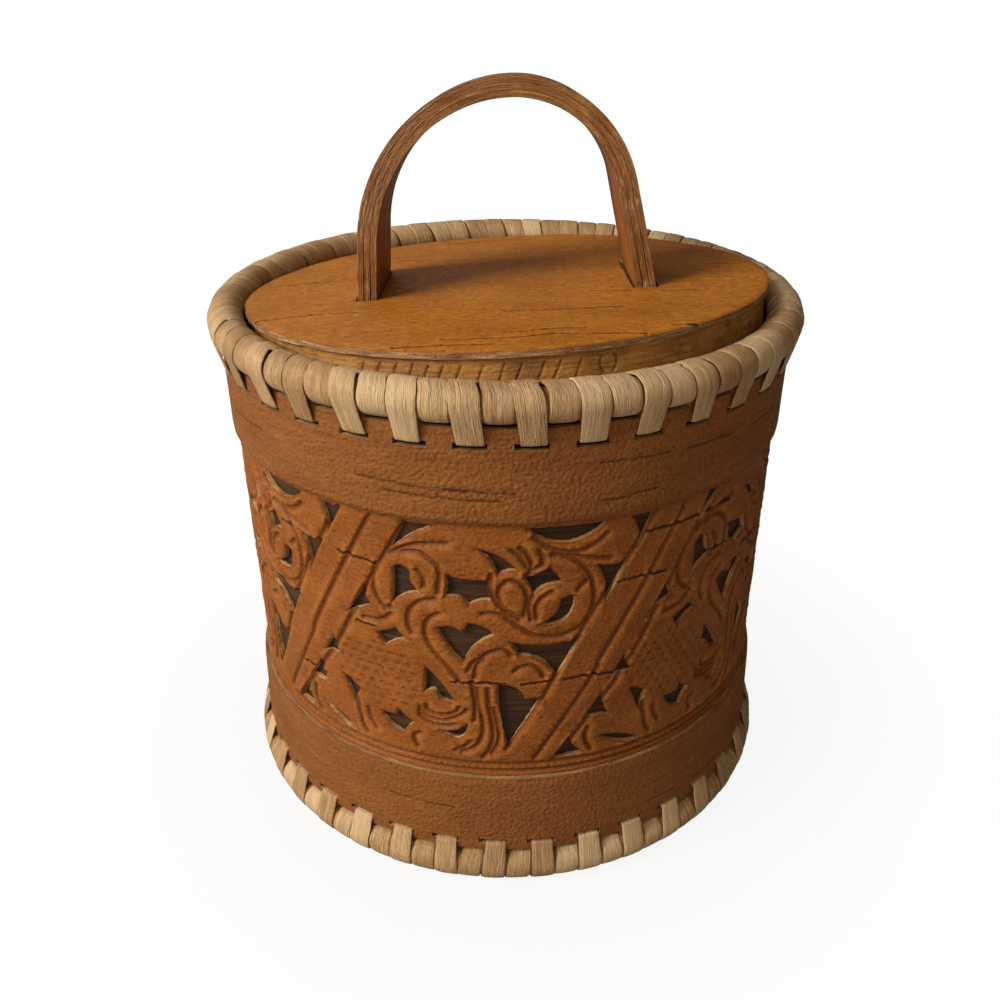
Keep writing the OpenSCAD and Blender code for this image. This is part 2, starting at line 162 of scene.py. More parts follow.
def barkMaterial(name, look):
    # look: colours and sizes in mm of one kind of bark; u runs along the fibre, v across it
    material, tree = newMaterial(name)
    look = {**plainLook, **look}
    if look["attribute"]:
        place = addNode(tree, "Attribute", attribute_name="place").outputs["Vector"]
    else:
        place = addNode(tree, "TexCoord").outputs["Object"]

    def scaled(sizes):
        # place in units of sizes mm along u, v and the depth
        return addNode(tree, "Mapping", Scale=[1000 / s for s in sizes], Vector=place).outputs[0]

    def soft(sizes, detail=2.0, rough=0.5):
        # noise whose grains measure sizes mm
        return addNode(tree, "TexNoise", Scale=1.0, Detail=detail, Roughness=rough,
                       Vector=scaled(sizes)).outputs["Fac"]

    def ramp(source, low, high, out0=0.0, out1=1.0):
        return addNode(tree, "MapRange", in0=source, in1=low, in2=high, in3=out0, in4=out1).outputs[0]

    def value(kind, a, b):
        return addNode(tree, "Math", operation=kind, in0=a, in1=b).outputs[0]

    def field(name):
        return addNode(tree, "Attribute", attribute_name=name).outputs["Fac"]

    def tint(base, colour, source, fade, share):
        # base turns into colour, up to this share, where the source passes through its fade
        return addNode(tree, "Mix", data_type="RGBA", in0=ramp(source, *fadeIn[fade], 0, share), in6=base,
                       in7=linear(colour)).outputs[2]

    streak = soft(look["streak"], 3.0, 0.6)
    pore = soft(look["pore"], 2.0, 0.55)
    colour = tint(linear(look["base"]), look["deep"], soft(look["blotch"]), "blotch", look["blotchy"])
    colour = tint(colour, look["pale"], streak, "pale", look["streaky"])
    colour = tint(colour, look["dark"], streak, "dark", look["streaky"])
    colour = tint(colour, look["dark"], pore, "pore", look["porous"])
    if look.get("flecks"):
        # short dark flecks along the fibre, few and far between
        colour = tint(colour, look["crack"], soft(look["flecks"], 1.0), "fleck", look["flecked"])
    height = value("ADD", value("MULTIPLY", streak, look["streakBump"]),
                   value("MULTIPLY", pore, look["poreBump"]))
    if look.get("pebble"):
        # rounded grains pressed into the face, as on suede
        grain = addNode(tree, "TexVoronoi", feature="SMOOTH_F1", Scale=1.0,
                        Vector=scaled(look["pebble"])).outputs["Distance"]
        height = value("ADD", height, value("MULTIPLY", grain, -look["pebbled"]))
        colour = tint(colour, look["dark"], grain, "grain", look["grained"])
    if look.get("ridgeHighlight"):
        # relief, -1 in the bottom of a groove to 1 on a ridge: painted shade darkens the grooves, dents and
        # edges, and a painted highlight lightens the ridges
        relief = field("relief")
        colour = tint(colour, look["groove"], relief, "groove", look["grooveShaded"])
        colour = tint(colour, look["ridgeHighlight"], relief, "ridge", look["highlighted"])
        torn = value("MULTIPLY", field("crack"), ramp(soft(look["tearing"]), *fadeIn["tear"], 0.35, 1.0))
        colour = tint(colour, look["crack"], torn, "crack", look["cracked"])
    if look.get("tones"):
        # each strip has a tone of its own
        tone = field("tone")
        colour = tint(colour, look["tones"][0], tone, "dull", look["toned"])
        colour = tint(colour, look["tones"][1], tone, "bright", look["toned"])
    bump = addNode(tree, "Bump", Strength=look["bump"], Distance=look["depth"] / 1000, Height=height)
    shine = ramp(streak, *fadeIn["shine"], look["rough"] + look["sheen"], look["rough"] - look["sheen"])
    shader = addNode(tree, "BsdfPrincipled", IOR=look["ior"], Specular_IOR_Level=look["specular"],
                     Base_Color=colour, Roughness=shine, Normal=bump.outputs[0])
    addNode(tree, "OutputMaterial", Surface=shader.outputs[0])
    return material


# Inner side of birch bark, carved and rubbed by hands: satin orange brown, with painted shade in the grooves
# and a painted highlight on the ridges
carvedBark = barkMaterial("satinBirchBark", dict(
    base="#864D1D", deep="#69380F", pale="#9E642B", dark="#4E250A", groove="#4C270D", ridgeHighlight="#A86C30",
    crack="#32190A", blotch=(22, 9, 20), streak=(5, 0.6, 5), pore=(0.9, 0.6, 1), rough=0.58, streaky=0.35,
    porous=0.75, streakBump=0.3, poreBump=0.9, pebble=(0.9, 0.8, 1), pebbled=0.9, bump=0.75, depth=0.24,
    grooveShaded=0.5, specular=0.2))
# Knife-cut edge of the carved bark: paler, fibrous layers
cutBark = barkMaterial("cutBirchBark", dict(
    base="#A67A4A", deep="#74491F", pale="#D8B88C", dark="#5A3415", blotch=(6, 6, 6),
    streak=(3, 3, 0.2), pore=(0.5, 0.5, 0.2), rough=0.75, blotchy=0.8, streaky=0.9, bump=0.9))
# Scraped bark of the bands: matte, pebbled like suede, with painted shade in its hollows, cracks and bevelled
# edges
bandBark = barkMaterial("scrapedBirchBark", dict(
    base="#804E22", deep="#6B3E19", pale="#94622F", dark="#552E12", groove="#49260F", ridgeHighlight="#966434",
    crack="#3A1E0C", blotch=(30, 12, 30), streak=(14, 1.6, 8), pore=(0.9, 0.8, 1), rough=0.7,
    streaky=0.35, porous=0.7, streakBump=0.15, poreBump=1.1, pebble=(0.8, 0.75, 1), pebbled=1.1,
    bump=0.8, specular=0.25))
# Plain bark tube inside: dark brown as painted shade, for the shadow it lies in behind the openings, with the
# lines of the bark running round it
linerBark = barkMaterial("shadowedLinerBark", dict(
    base="#3A2411", deep="#22150A", pale="#58391C", dark="#120B06", blotch=(18, 6, 18),
    streak=(16, 0.8, 8), pore=(0.8, 0.5, 1), rough=0.75, blotchy=0.8, streaky=0.8, bump=0.6, depth=0.25))
# Lacing strips: split and scraped bast, pale straw with fine fibres along each strip
laceBast = barkMaterial("scrapedBast", dict(
    base="#B6936A", deep="#8E6B42", pale="#DAC29A", dark="#5E4226", crack="#3E2914", blotch=(7, 2.5, 50),
    streak=(11, 0.16, 50), pore=(1.6, 0.2, 50), rough=0.5, blotchy=0.7, streaky=1.0, porous=0.8,
    flecks=(2.4, 0.35, 60), streakBump=1.2, poreBump=0.8, bump=1.0, depth=0.28, specular=0.4,
    tones=("#8C6A42", "#D8C098")))
# Top sheet of the lid: the smoothest bark, warm and slightly shiny, cracked along its lenticels, with painted
# shade in the cracks and at the edge and a painted highlight on the lips beside the cracks and on its swells
lidBark = barkMaterial("polishedBirchBark", dict(
    base="#A4661E", deep="#834B10", pale="#C48838", dark="#683A0E", groove="#53300D", ridgeHighlight="#B4762E",
    crack="#1E1008", blotch=(26, 14, 30), streak=(2.4, 1.3, 6), pore=(1.2, 0.7, 1), rough=0.55,
    blotchy=0.7, porous=0.8, streakBump=0.3, poreBump=0.9, pebble=(1.6, 1.1, 1), pebbled=0.6,
    bump=0.7, depth=0.22, specular=0.15))
# Edge of the lid's sheet: grey-brown torn layers
tornBark = barkMaterial("tornBirchBark", dict(
    base="#94704A", deep="#5E4026", pale="#C2A074", dark="#38240F", blotch=(7, 7, 3), streak=(6, 6, 0.3),
    pore=(0.6, 0.6, 0.3), rough=0.8, blotchy=0.8, streaky=0.9, porous=0.7, bump=0.9, depth=0.4))
# Collar of the lid: coarse outer bark, olive brown, pricked with slanted ticks, with painted shade in the
# ticks and hollows and a painted highlight on its bumps
collarBark = barkMaterial("prickedBirchBark", dict(
    base="#A67438", deep="#7C5224", pale="#C49652", dark="#4A2F14", groove="#38220F", ridgeHighlight="#B48848",
    crack="#2A180A", blotch=(12, 6, 12), streak=(8, 0.6, 6), pore=(0.9, 0.6, 1), rough=0.68,
    blotchy=0.7, streaky=0.6, porous=0.5, streakBump=0.6, poreBump=0.8, bump=0.8))
# Handle: bark plies glued face to face, rubbed dull, fibres along the strap
handleBark = barkMaterial("bentBirchBark", dict(
    base="#815327", deep="#5A3818", pale="#B48C58", dark="#3C220F", crack="#26150A", blotch=(16, 5, 3),
    streak=(14, 0.5, 0.3), pore=(1.4, 0.35, 0.3), rough=0.58, streaky=0.8, porous=0.55,
    flecks=(6, 0.6, 0.3), streakBump=1.0, poreBump=0.7, bump=0.8))
# Inner ply of the handle: the bark's smooth orange side
handleFace = barkMaterial("smoothBirchBark", dict(
    base="#8E5422", deep="#70400F", pale="#A86E34", dark="#55300F", crack="#2E1A0A", blotch=(16, 7, 8),
    streak=(12, 0.6, 0.5), pore=(1.0, 0.35, 0.4), rough=0.52,
    flecks=(5, 0.5, 0.5), depth=0.2))
# Split withe inside the rims: raw bent wood
witheWood = barkMaterial("splitWithe", dict(
    base="#8A6238", deep="#6B4724", pale="#A9824F", dark="#4C3017", blotch=(20, 20, 8), streak=(4, 4, 0.8),
    pore=(0.7, 0.7, 0.5), rough=0.7, depth=0.2, attribute=False))
# Planed pine: floor board, core of the lid and its pegs
pineWood = barkMaterial("planedPine", dict(
    base="#C2985F", deep="#A87B43", pale="#D8B684", dark="#8A6030", blotch=(60, 8, 20), streak=(45, 1.4, 12),
    pore=(6, 0.4, 2), rough=0.62, blotchy=0.5, streaky=0.7, porous=0.3, bump=0.4, depth=0.15,
    attribute=False))
# Lining under the lid: plain bark, smooth side down
liningBark = barkMaterial("liningBirchBark", dict(
    base="#A8713C", deep="#865428", pale="#C28E54", dark="#6B4220", blotch=(25, 10, 20), streak=(12, 0.7, 5),
    pore=(1.0, 0.5, 1), rough=0.55, bump=0.4, depth=0.2, attribute=False))
print("materials made")


def spline(points, step):
    # a smooth line through the points, one point every step mm
    p = np.array(points, float)
    p = np.vstack([2 * p[0] - p[1], p, 2 * p[-1] - p[-2]])
    out = []
    for a, b, c, d in zip(p, p[1:], p[2:], p[3:]):
        n = max(1, int(math.dist(b, c) / step))
        t = np.arange(n)[:, None] / n
        out.append(0.5 * (2 * b + (c - a) * t + (2 * a - 5 * b + 4 * c - d) * t * t
                          + (3 * b - a - 3 * c + d) * t ** 3))
    return np.vstack(out + [p[-2:-1]])


def nearest(points, guides):
    # distance from each point to the nearest guide point
    tree = kdtree.KDTree(len(guides))
    for i, (x, y) in enumerate(guides):
        tree.insert((x, y, 0), i)
    tree.balance()
    return np.array([tree.find((x, y, 0))[2] for x, y in points])


def inside(points, loop):
    # even-odd test, only where the loop's box allows it
    hit = np.zeros(len(points), bool)
    near = np.flatnonzero(((points >= loop.min(0)) & (points <= loop.max(0))).all(1))
    p = points[near]
    odd = np.zeros(len(p), bool)
    for (x0, y0), (x1, y1) in zip(loop, np.roll(loop, -1, 0)):
        if y0 != y1:
            cross = (p[:, 1] < y0) != (p[:, 1] < y1)
            odd ^= cross & (p[:, 0] < x0 + (p[:, 1] - y0) / (y1 - y0) * (x1 - x0))
    hit[near] = odd
    return hit


def meshed(loops, extra):
    # triangles between the first loop and the others, which are holes
    points = [Vector(p) for loop in loops for p in loop]
    edges, start = [], 0
    for loop in loops:
        n = len(loop)
        edges += [(start + i, start + (i + 1) % n) for i in range(n)]
        start += n
    points += [Vector(p) for p in extra]
    verts, _, faces, origin, _, _ = delaunay_2d_cdt(points, edges, [], 0, 1e-5)
    verts = np.array([tuple(v) for v in verts])
    faces = np.array(faces)
    centre = verts[faces].mean(1)
    keep = inside(centre, loops[0])
    for loop in loops[1:]:
        keep &= ~inside(centre, loop)
    place = {j: i for i, ids in enumerate(origin) for j in ids}
    return verts, faces[keep], [place[i] for i in range(start)]


def cutSheet(loops, guides, fine, coarse, reach, height, rolledUp, thick):
    # a sheet cut from the flat: fine mesh near the guides and a coarse one elsewhere and on its back
    edge = np.vstack(loops)
    low, high = loops[0].min(0), loops[0].max(0)
    # rows of a grid of triangles stand closer than its columns
    rowStep, every = 0.87, max(1, round(coarse / fine))
    index = [(i, j) for j in range(1, int((high[1] - low[1]) / fine / rowStep))
             for i in range(int((high[0] - low[0]) / fine) + 1)]
    grid = np.array([(low[0] + (i + 0.5 * (j % 2)) * fine, low[1] + j * fine * rowStep) for i, j in index])
    onCoarse = np.array([j % every == 0 and i % every == (every // 2) * ((j // every) % 2) for i, j in index])
    clear = nearest(grid, edge) > 0.7 * fine
    near = nearest(grid, guides) < reach
    top, topFaces, topEdge = meshed(loops, grid[clear & (near | onCoarse)])
    back, backFaces, backEdge = meshed(loops, grid[clear & onCoarse])
    topHeight, fields = height(top)
    n = len(top)
    flat = np.vstack([top, back])
    depth = np.concatenate([topHeight, np.full(len(back), -thick)])
    faces = [tuple(f) for f in topFaces] + [tuple(n + i for i in f[::-1]) for f in backFaces]
    slots, start = [0] * len(faces), 0
    for k, loop in enumerate(loops):
        m = len(loop)
        area = np.sum(loop[:, 0] * np.roll(loop[:, 1], -1) - np.roll(loop[:, 0], -1) * loop[:, 1])
        turn = (area > 0) == (k == 0)
        for i in range(m):
            a, b = start + i, start + (i + 1) % m
            quad = (topEdge[a], n + backEdge[a], n + backEdge[b], topEdge[b])
            faces.append(quad if turn else quad[::-1])
        start += m
    slots += [1] * (len(faces) - len(slots))
    values = {key: np.concatenate([value, np.zeros(len(back))]) for key, value in fields.items()}
    return dict(points=rolledUp(flat, depth), faces=faces, slots=slots, place=np.column_stack([flat, depth]),
                values=values)


def build(name, sheet, materials, body, nodes):
    # turns points in mm into one piece, drops what no face uses, and hands it to the frame; slots: which
    # of the two materials each face has
    mesh = bpy.data.meshes.new(name)
    points = np.asarray(sheet["points"])
    used = np.unique(np.concatenate([np.asarray(f) for f in sheet["faces"]]))
    renumber = np.full(len(points), -1)
    renumber[used] = np.arange(len(used))
    mesh.from_pydata((points[used] / 1000).tolist(), [],
                     [[int(renumber[i]) for i in f] for f in sheet["faces"]])
    for material in materials:
        mesh.materials.append(material)
    if "slots" in sheet:
        mesh.polygons.foreach_set("material_index", np.array(sheet["slots"], np.int32))
    place = mesh.attributes.new("place", "FLOAT_VECTOR", "POINT")
    place.data.foreach_set("vector", (sheet["place"][used] / 1000).astype(np.float32).ravel())
    for key, value in sheet.get("values", {}).items():
        field = mesh.attributes.new(key, "FLOAT", "POINT")
        field.data.foreach_set("value", value[used].astype(np.float32))
    mesh.polygons.foreach_set("use_smooth", [True] * len(mesh.polygons))
    mesh.validate()
    piece = bpy.data.objects.new(name, mesh)
    bpy.context.scene.collection.objects.link(piece)
    # the cut edges stay crisp
    mesh.set_sharp_from_angle(angle=math.radians(50))
    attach(piece, body)
    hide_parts(*nodes)
    return piece


def bell(away, reach):
    # 1 at no distance, falling softly to 0 beyond the reach
    return np.exp(-(away / reach) ** 2)


def wobble(points, size, amount, seed=0.0):
    # soft unevenness of hand work: size in mm from one swell to the next
    return amount * np.array([noise.noise((x / size, y / size, seed)) for x, y in points])


def tube(radius, perTurn):
    # rolls a flat sheet round the box: perTurn mm of the flat go once round it
    def roll(flat, depth):
        a = flat[:, 0] / perTurn * 2 * math.pi
        r = (radius(flat) if callable(radius) else radius) + depth
        return np.column_stack([r * np.sin(a), -r * np.cos(a), flat[:, 1]])
    return roll


def closedLoop(corners, step):
    # outline through the corners, one point about every step mm
    corners = np.array(corners, float)
    out = []
    for a, b in zip(corners, np.roll(corners, -1, 0)):
        n = max(1, round(math.dist(a, b) / step))
        out.append(a + (b - a) * np.arange(n)[:, None] / n)
    return np.vstack(out)


# One repeat of the pattern, x in mm round the wall and y below the top of the field
pattern = dict(width=68.4, angle=59, repeats=6, first=-2, foot=65.6, groove=0.5, grooveWide=0.5,
               lineStep=0.25, border=(61.6, 63.6), borderStep=0.3, bevel=0.35, bevelReach=0.4, pillow=0.08,
               pillowReach=1.4, lip=0.26, lipAt=1.1, lipWide=0.45, swell=(7, 0.1), held=(0.5, 64.5),
               relief=0.3, crack=0.22, crackWide=0.3, crackStep=0.25, crackStray=0.09, cutStep=0.45, nick=1.1,
               nickDeep=0.16, hiddenTop=12, hiddenFoot=8, edgeStep=0.8, seam=0.2, mesh=(0.27, 1.62, 0.85))
# Field of pricks in each repeat: rows inside an oval, each prick a short stroke
pricks = dict(x=-29.5, y=41, column=2.7, row=2.2, ovalWide=10, ovalHigh=9, most=4, stray=0.4, stroke=0.3,
              wide=0.42, deep=0.3)
openings = [  # x, y and bow of each corner; a bow above 0 swells the side that follows, below 0 pinches it
    [-20.8, 0, 0, -14.5, 0, -0.6, -24, 6.6, 0], [4, 0, 0, 21, 0, 3.8],
    [26.5, 0, 0, 32, 0, 0, 28, 7.6, -0.9], [-6.2, 4.8, 1.1, 2.4, 10, -0.6, -1.8, 10.8, -1],
    [-12.7, 11.1, -0.8, -3.7, 12, -0.5, -3, 17, -0.5, -7.7, 18.4, -0.9, -12.6, 16.6, -0.4],
    [3.6, 11.6, -0.2, 9, 9.4, 0.2, 11.6, 13.4, -0.8, 5.6, 15.5, -0.3],
    [14.4, 16.8, 3.2, 6.8, 23.2, -1.4, 11.6, 17.3, 0.3], [19.2, 10, -0.7, 26.4, 9.9, 0, 21, 19.6, -1],
    [0.8, 27.6, -1.2, 16.2, 27.6, 0, 10.9, 37.3, -1.7, 2.6, 31, -0.3],
    [-1.8, 39, 1.5, 4, 43.2, 0, 7.9, 42.7, 0, 0.3, 56.4, 0.5],
    [-14.8, 25.2, 1.1, -9.4, 25.6, 0, -8, 23.1, 0.7, -2.4, 25.8, -1.3, -9.2, 33.6, 0.5],
    [-24.2, 11.6, 1.2, -20.3, 11.9, -0.8, -18.2, 16.6, -0.8, -24.8, 20.4, -0.2],
    [-31.3, 17.6, -0.6, -30, 22.8, -0.4, -36.8, 26.4, 0],
    [-29.2, 29.2, -0.2, -24.2, 26.9, -0.3, -21.8, 29.3, -0.5, -27.3, 32.4, 0],
    [-17.8, 36, 0.6, -11.3, 45, 0.2, -14.7, 43.9, -1.6, -18.3, 42.8, 0], [-15, 53, -0.9, -8.6, 50.6, 3.2],
    [-29.5, 51.4, 0, -25.6, 51.4, 0, -25, 49.4, -0.3, -21.2, 52.2, -0.2, -24.2, 56.3, 0.9],
    [-39.6, 44.6, 0.2, -35, 47.2, -0.5, -36.6, 52.2, 0.2],
    [-41.5, 34.4, -0.5, -39.4, 39.8, -0.4, -45, 40.1, 0],
    [-46.8, 43.2, -0.5, -44.6, 51, -0.5, -51.2, 50.3, 0],
    [-54.2, 54.9, -0.8, -50, 60.5, -0.2, -57.7, 61, 0], [-47.3, 56.4, 1.2, -36, 61, 0.9],
]
grooves = [  # carved lines of the same repeat: x and y of each point
    [39.7, 0, 31, 15.6, 21, 33.6, 19.2, 38, 6.4, 60], [-36.4, 0, -45.5, 14, -55, 31, -62, 46, -68.4, 57],
    [-20.9, 0, -31.5, 19, -40.5, 36, -51.4, 52, -57.9, 61], [-24.5, 8, -19, 5, -12, 3.8],
    [-22, 7.2, -18.5, 6.6, -16.2, 7.5, -14.3, 9.3, -13.7, 11, -14.1, 14.3, -14.3, 16],
    [-18.5, 11, -17.2, 13, -17.4, 15],
    [-27.3, 11, -28.5, 13.3, -29, 15.1, -28.9, 17.5, -28.4, 19.4, -27.5, 21, -25.9, 22.2, -25.1, 21.4],
    [-15.1, 17.8, -18, 18.6, -19.8, 20.1, -20.9, 21.7, -21.3, 23.8, -21.2, 25.4, -20.5, 27.2],
    [-14.3, 21.2, -16.2, 22.5, -17.2, 24.1, -17.5, 26.2, -17.2, 28, -16.2, 30.4, -14.8, 32.3, -12.5, 35,
     -10.5, 38],
    [-32, 26.2, -28, 25.7, -25.1, 23.3], [6.7, 5.2, 7.5, 7.1, 7.2, 8.5, 6.1, 9.3, 4.7, 10.2, 4.2, 11],
    [1.1, 4.9, 2.8, 6.5, 4.2, 8.8], [2.8, 4.3, 4.4, 6, 5.1, 7.9, 5, 9.3],
    [5.6, 2.1, 8.3, 4.3, 11.1, 5.7, 14.4, 6.1, 17.2, 5.3, 19.4, 4, 20.8, 2.7],
    [9.4, 6.3, 13, 6.8, 16.4, 7.7, 22, 8.8],
    [10.5, 6.3, 14.4, 8.2, 16.7, 10.7, 18, 13.5, 18.6, 17.4, 18, 21.3, 15.8, 24.6, 12.2, 26.3, 8.9, 26.5,
     5.6, 25.7, 3.1, 24, 1.1, 22.4, -0.8, 20.7, -3.1, 20.2, -5, 20.4],
    [16.7, 13.5, 15, 15.2], [-3.1, 10.7, -3.2, 14, -1.9, 17.4, 0.6, 20.2, 2.8, 21.8],
    [-1.7, 15.2, -1.1, 13.5, 0.6, 12.1, 2.5, 12.7, 3.9, 14.3, 4.4, 16.8, 3.9, 19.6, 3.3, 21.3, 1.1, 20.2,
     -0.8, 18.5, -1.7, 15.7],
    [5.3, 16.3, 4.7, 19, 5.3, 21.8], [9.4, 15.2, 7.2, 16.8, 6.1, 19, 6.4, 21.8],
    [-5.8, 32.4, -4.2, 30.7, -1.9, 29.6, 0, 29.9, 1.1, 31], [-8.3, 35.5, -7.2, 33.3, -5, 31.6],
    [-6.9, 37.2, -6.4, 34.1, -5, 32.4], [1.7, 35.2, 3.1, 34.1, 5.3, 33.8, 6.9, 34.9, 8.1, 36.9],
    [-7.5, 38.5, -6.9, 43.3, -6.9, 47.2, -7.2, 49.4],
    [-4, 40.2, -3.9, 44.1, -3.3, 48.3, -2.9, 52.4, -3.2, 55.2, -4, 57.7, -5.3, 59.7],
    [-2.8, 45.5, -1.9, 51, -1.7, 53.8, -2.2, 56, -3.3, 58.5],
    [-6.4, 40.2, -6.1, 44.9, -5.3, 48.8, -5.3, 52.7, -6.4, 55.8, -8.3, 57.7, -10, 58.5],
    [-19.6, 47.4, -19, 48.7, -17.2, 49.8, -14.3, 50, -11.7, 49, -9.6, 47.4, -8.8, 46.3],
    [-18, 46.3, -17.7, 47.7, -16.2, 48.4, -13.5, 48.4, -11.2, 47.1, -10.4, 45.8],
    [-19.8, 48.4, -19.6, 49.8, -18, 51, -14.8, 51.6, -11.7, 51], [-11.4, 58.2, -9.6, 57.1, -8, 55.3],
    [-19.6, 54.8, -21.2, 55.8, -21.3, 57.4, -20.6, 59], [-35.9, 50, -35.6, 54, -34.8, 57.4, -33.8, 59.2],
    [-33, 51.9, -32.5, 54.8, -31.2, 56.9], [-50, 53, -50.4, 55.2, -50.1, 57.4, -49, 59.4],
]
lenticels = [  # cracks of the bark on the whole sheet: from, to (mm round the wall), mm below the top
    [-37.5, -28, 10.8], [-12, 0, 38.8], [3.3, 10, 38.8], [12.5, 24, 38.3], [30, 55, 4.4],
    [24, 36, 15.2], [45, 60, 15.2], [-66, -52, 27.5], [-34, -29, 27.5], [-56, -51, 10], [-54, -45, 47],
    [86, 104, 22], [120, 131, 41], [150, 168, 12], [174, 190, 50], [-92, -80, 33], [-118, -104, 18],
    [-140, -131, 52], [96, 108, 53], [140, 150, 30], [200, 212, 25],
]


def openingLoop(corners, shift):
    # outline of one opening with its bowed sides and a ragged edge
    out = []
    for p, q in zip(corners, corners[1:] + corners[:1]):
        (x0, y0, bow), (x1, y1, _) = p, q
        size = math.dist((x0, y0), (x1, y1))
        n = max(2, round(size / pattern["cutStep"]))
        for i in range(n):
            t = i / n
            push = 4 * bow * t * (1 - t) / size
            out.append((x0 + (x1 - x0) * t + push * (y1 - y0) + shift,
                        y0 + (y1 - y0) * t - push * (x1 - x0)))
    nick = [noise.noise((x / pattern["nick"], y / pattern["nick"], 2)) for x, y in out]
    return np.array(out) + np.column_stack([nick, nick[::-1]]) * pattern["nickDeep"]


def carvedSheet():
    p = pattern
    shifts = [(p["first"] + k) * p["width"] for k in range(p["repeats"])]
    turn = p["width"] * 360 / p["angle"]
    back = seams["carved"] / 360 * turn
    left, right = back - turn + p["seam"], back - p["seam"]
    top, foot = -p["hiddenTop"], p["foot"] + p["hiddenFoot"]
    loops = [closedLoop([(left, top), (right, top), (right, foot), (left, foot)], p["edgeStep"])]
    for shift in shifts:
        for opening in openings:
            loop = openingLoop(np.reshape(opening, (-1, 3)).tolist(), shift)
            if loop[:, 0].max() > back:
                loop[:, 0] -= turn
            if loop[:, 0].min() >= left and loop[:, 0].max() <= right:
                loops.append(loop)
    lines = np.vstack([spline(np.reshape(g, (-1, 2)), p["lineStep"]) + (shift, 0)
                       for g in grooves for shift in shifts])
    border = np.array([(x, y) for y in p["border"]
                       for x in np.arange(back - turn + 0.5, back - 0.5, p["borderStep"])])
    lines = np.vstack([lines, border])
    q, span, stray = pricks, range(-pricks["most"], pricks["most"] + 1), pricks["stray"]
    rows = [(q["column"] * (i + 0.5 * (j % 2)), q["row"] * j) for i in span for j in span]
    dots = np.array([(shift + q["x"] + x, q["y"] + y) for shift in shifts for x, y in rows
                     if (x / q["ovalWide"]) ** 2 + (y / q["ovalHigh"]) ** 2 < 1])
    dots = np.vstack([dots + (random.uniform(-stray, stray), random.uniform(-stray, stray))
                      + (k * q["stroke"], 0) for k in (-1, 0, 1)])
    cracks = []
    for x0, x1, y in lenticels:
        while x0 < x1:
            cracks.append((x0, y))
            x0 += p["crackStep"]
            y += random.uniform(-p["crackStray"], p["crackStray"])
    for arr in (lines, dots):
        arr[:, 0] = (arr[:, 0] - back + turn) % turn + back - turn
    cracks = np.array(cracks)
    edges = np.vstack(loops[1:])

    def height(flat):
        toLine = nearest(flat, lines)
        groove = bell(toLine, p["grooveWide"])
        dent = bell(nearest(flat, dots), q["wide"])
        split = bell(nearest(flat, cracks), p["crackWide"])
        swell = 1 - np.exp(-toLine / p["pillowReach"])
        lip = bell(toLine - p["lipAt"], p["lipWide"]) * (toLine > p["grooveWide"])
        rise = (-p["groove"] * groove + p["pillow"] * swell + p["lip"] * lip - q["deep"] * dent
                - p["crack"] * split - p["bevel"] * bell(nearest(flat, edges), p["bevelReach"])
                + wobble(flat, *p["swell"]))
        # under the bands the sheet stays flat
        held = (flat[:, 1] < p["held"][0]) | (flat[:, 1] > p["held"][1])
        rise = np.where(held, np.minimum(rise, 0.0), rise)
        # the relief puts painted shade in the grooves, pricks, cracks and opening edges and a painted
        # highlight on the lips beside the grooves
        return rise, dict(relief=np.clip(rise / p["relief"], -1, 1), crack=split)

    def roll(flat, depth):
        a = np.radians(flat[:, 0] / p["width"] * p["angle"])
        r = box["wallR"] + depth
        return np.column_stack([r * np.sin(a), -r * np.cos(a), box["fieldTop"] - flat[:, 1]])

    # y grows downwards, so the sheet is cut as seen from inside and turned over by the roll
    sheet = cutSheet(loops, np.vstack([lines, dots, cracks, edges]), *p["mesh"], height, roll,
                     box["wallR"] - box["sheetIn"])
    sheet["faces"] = [tuple(f[::-1]) for f in sheet["faces"]]
    return build("carvedSheet", sheet, [carvedBark, cutBark], "box", ["carved_wall"])


carvedSheet()
print("carved sheet made")


def stitchAngles(laced, half):
    # angles of one row of stitches: half is 0 for the long ones and 0.5 for the short ones between them
    return [laced["phase"] + (i + half) * 360 / laced["pairs"] for i in range(laced["pairs"])]


def atFront(a):
    # 1 at the front of the box and 0 at its back, a in degrees
    return (1 + math.cos(math.radians(a))) / 2


def stripAngle(laced):
    # degrees that a strip takes up
    return 360 / laced["pairs"] / 2 - math.degrees(lace["gap"] / (laced["centreR"] + laced["rollR"]))


# Slits in mm: how far they reach past their strip's end, behind it and past its sides
slit = dict(beyond=0.9, behind=0.55, border=0.3, loose=0.12, tight=0.2, wideLeft=0.9, wideRight=0.8, seam=0.5,
            step=1.2)


def slitLoops(radius, low, high, edge, shift=0.0):
    # slits of both rows of both rims that fall on a sheet from low to high, cut a little past the strips
    out = []
    turn = 2 * math.pi * radius
    for laced in (rim, foot):
        up = laced["sign"]
        for half, tail in ((0, laced["long"]), (0.5, laced["short"])):
            for a in stitchAngles(laced, half):
                z = laced["centreZ"] - up * tail + laced["lift"] * atFront(a)
                z0, z1 = sorted((z - up * slit["beyond"], z + up * slit["behind"]))
                if z0 < low + slit["border"] or z1 > high - slit["border"]:
                    continue
                mid = (a + shift) / 360 * turn
                mid -= turn * math.floor((mid - edge) / turn + 1)
                wide = math.radians(stripAngle(laced)) / 2 * radius + slit["loose"]
                left = mid - wide - (slit["wideLeft"] if up < 0 else slit["tight"])
                right = mid + wide + (slit["wideRight"] if up > 0 else slit["tight"])
                if left < edge - turn + slit["seam"] or right > edge - slit["seam"]:
                    continue
                out.append(closedLoop([(left, z0), (right, z0), (right, z1), (left, z1)], slit["step"]))
    return out


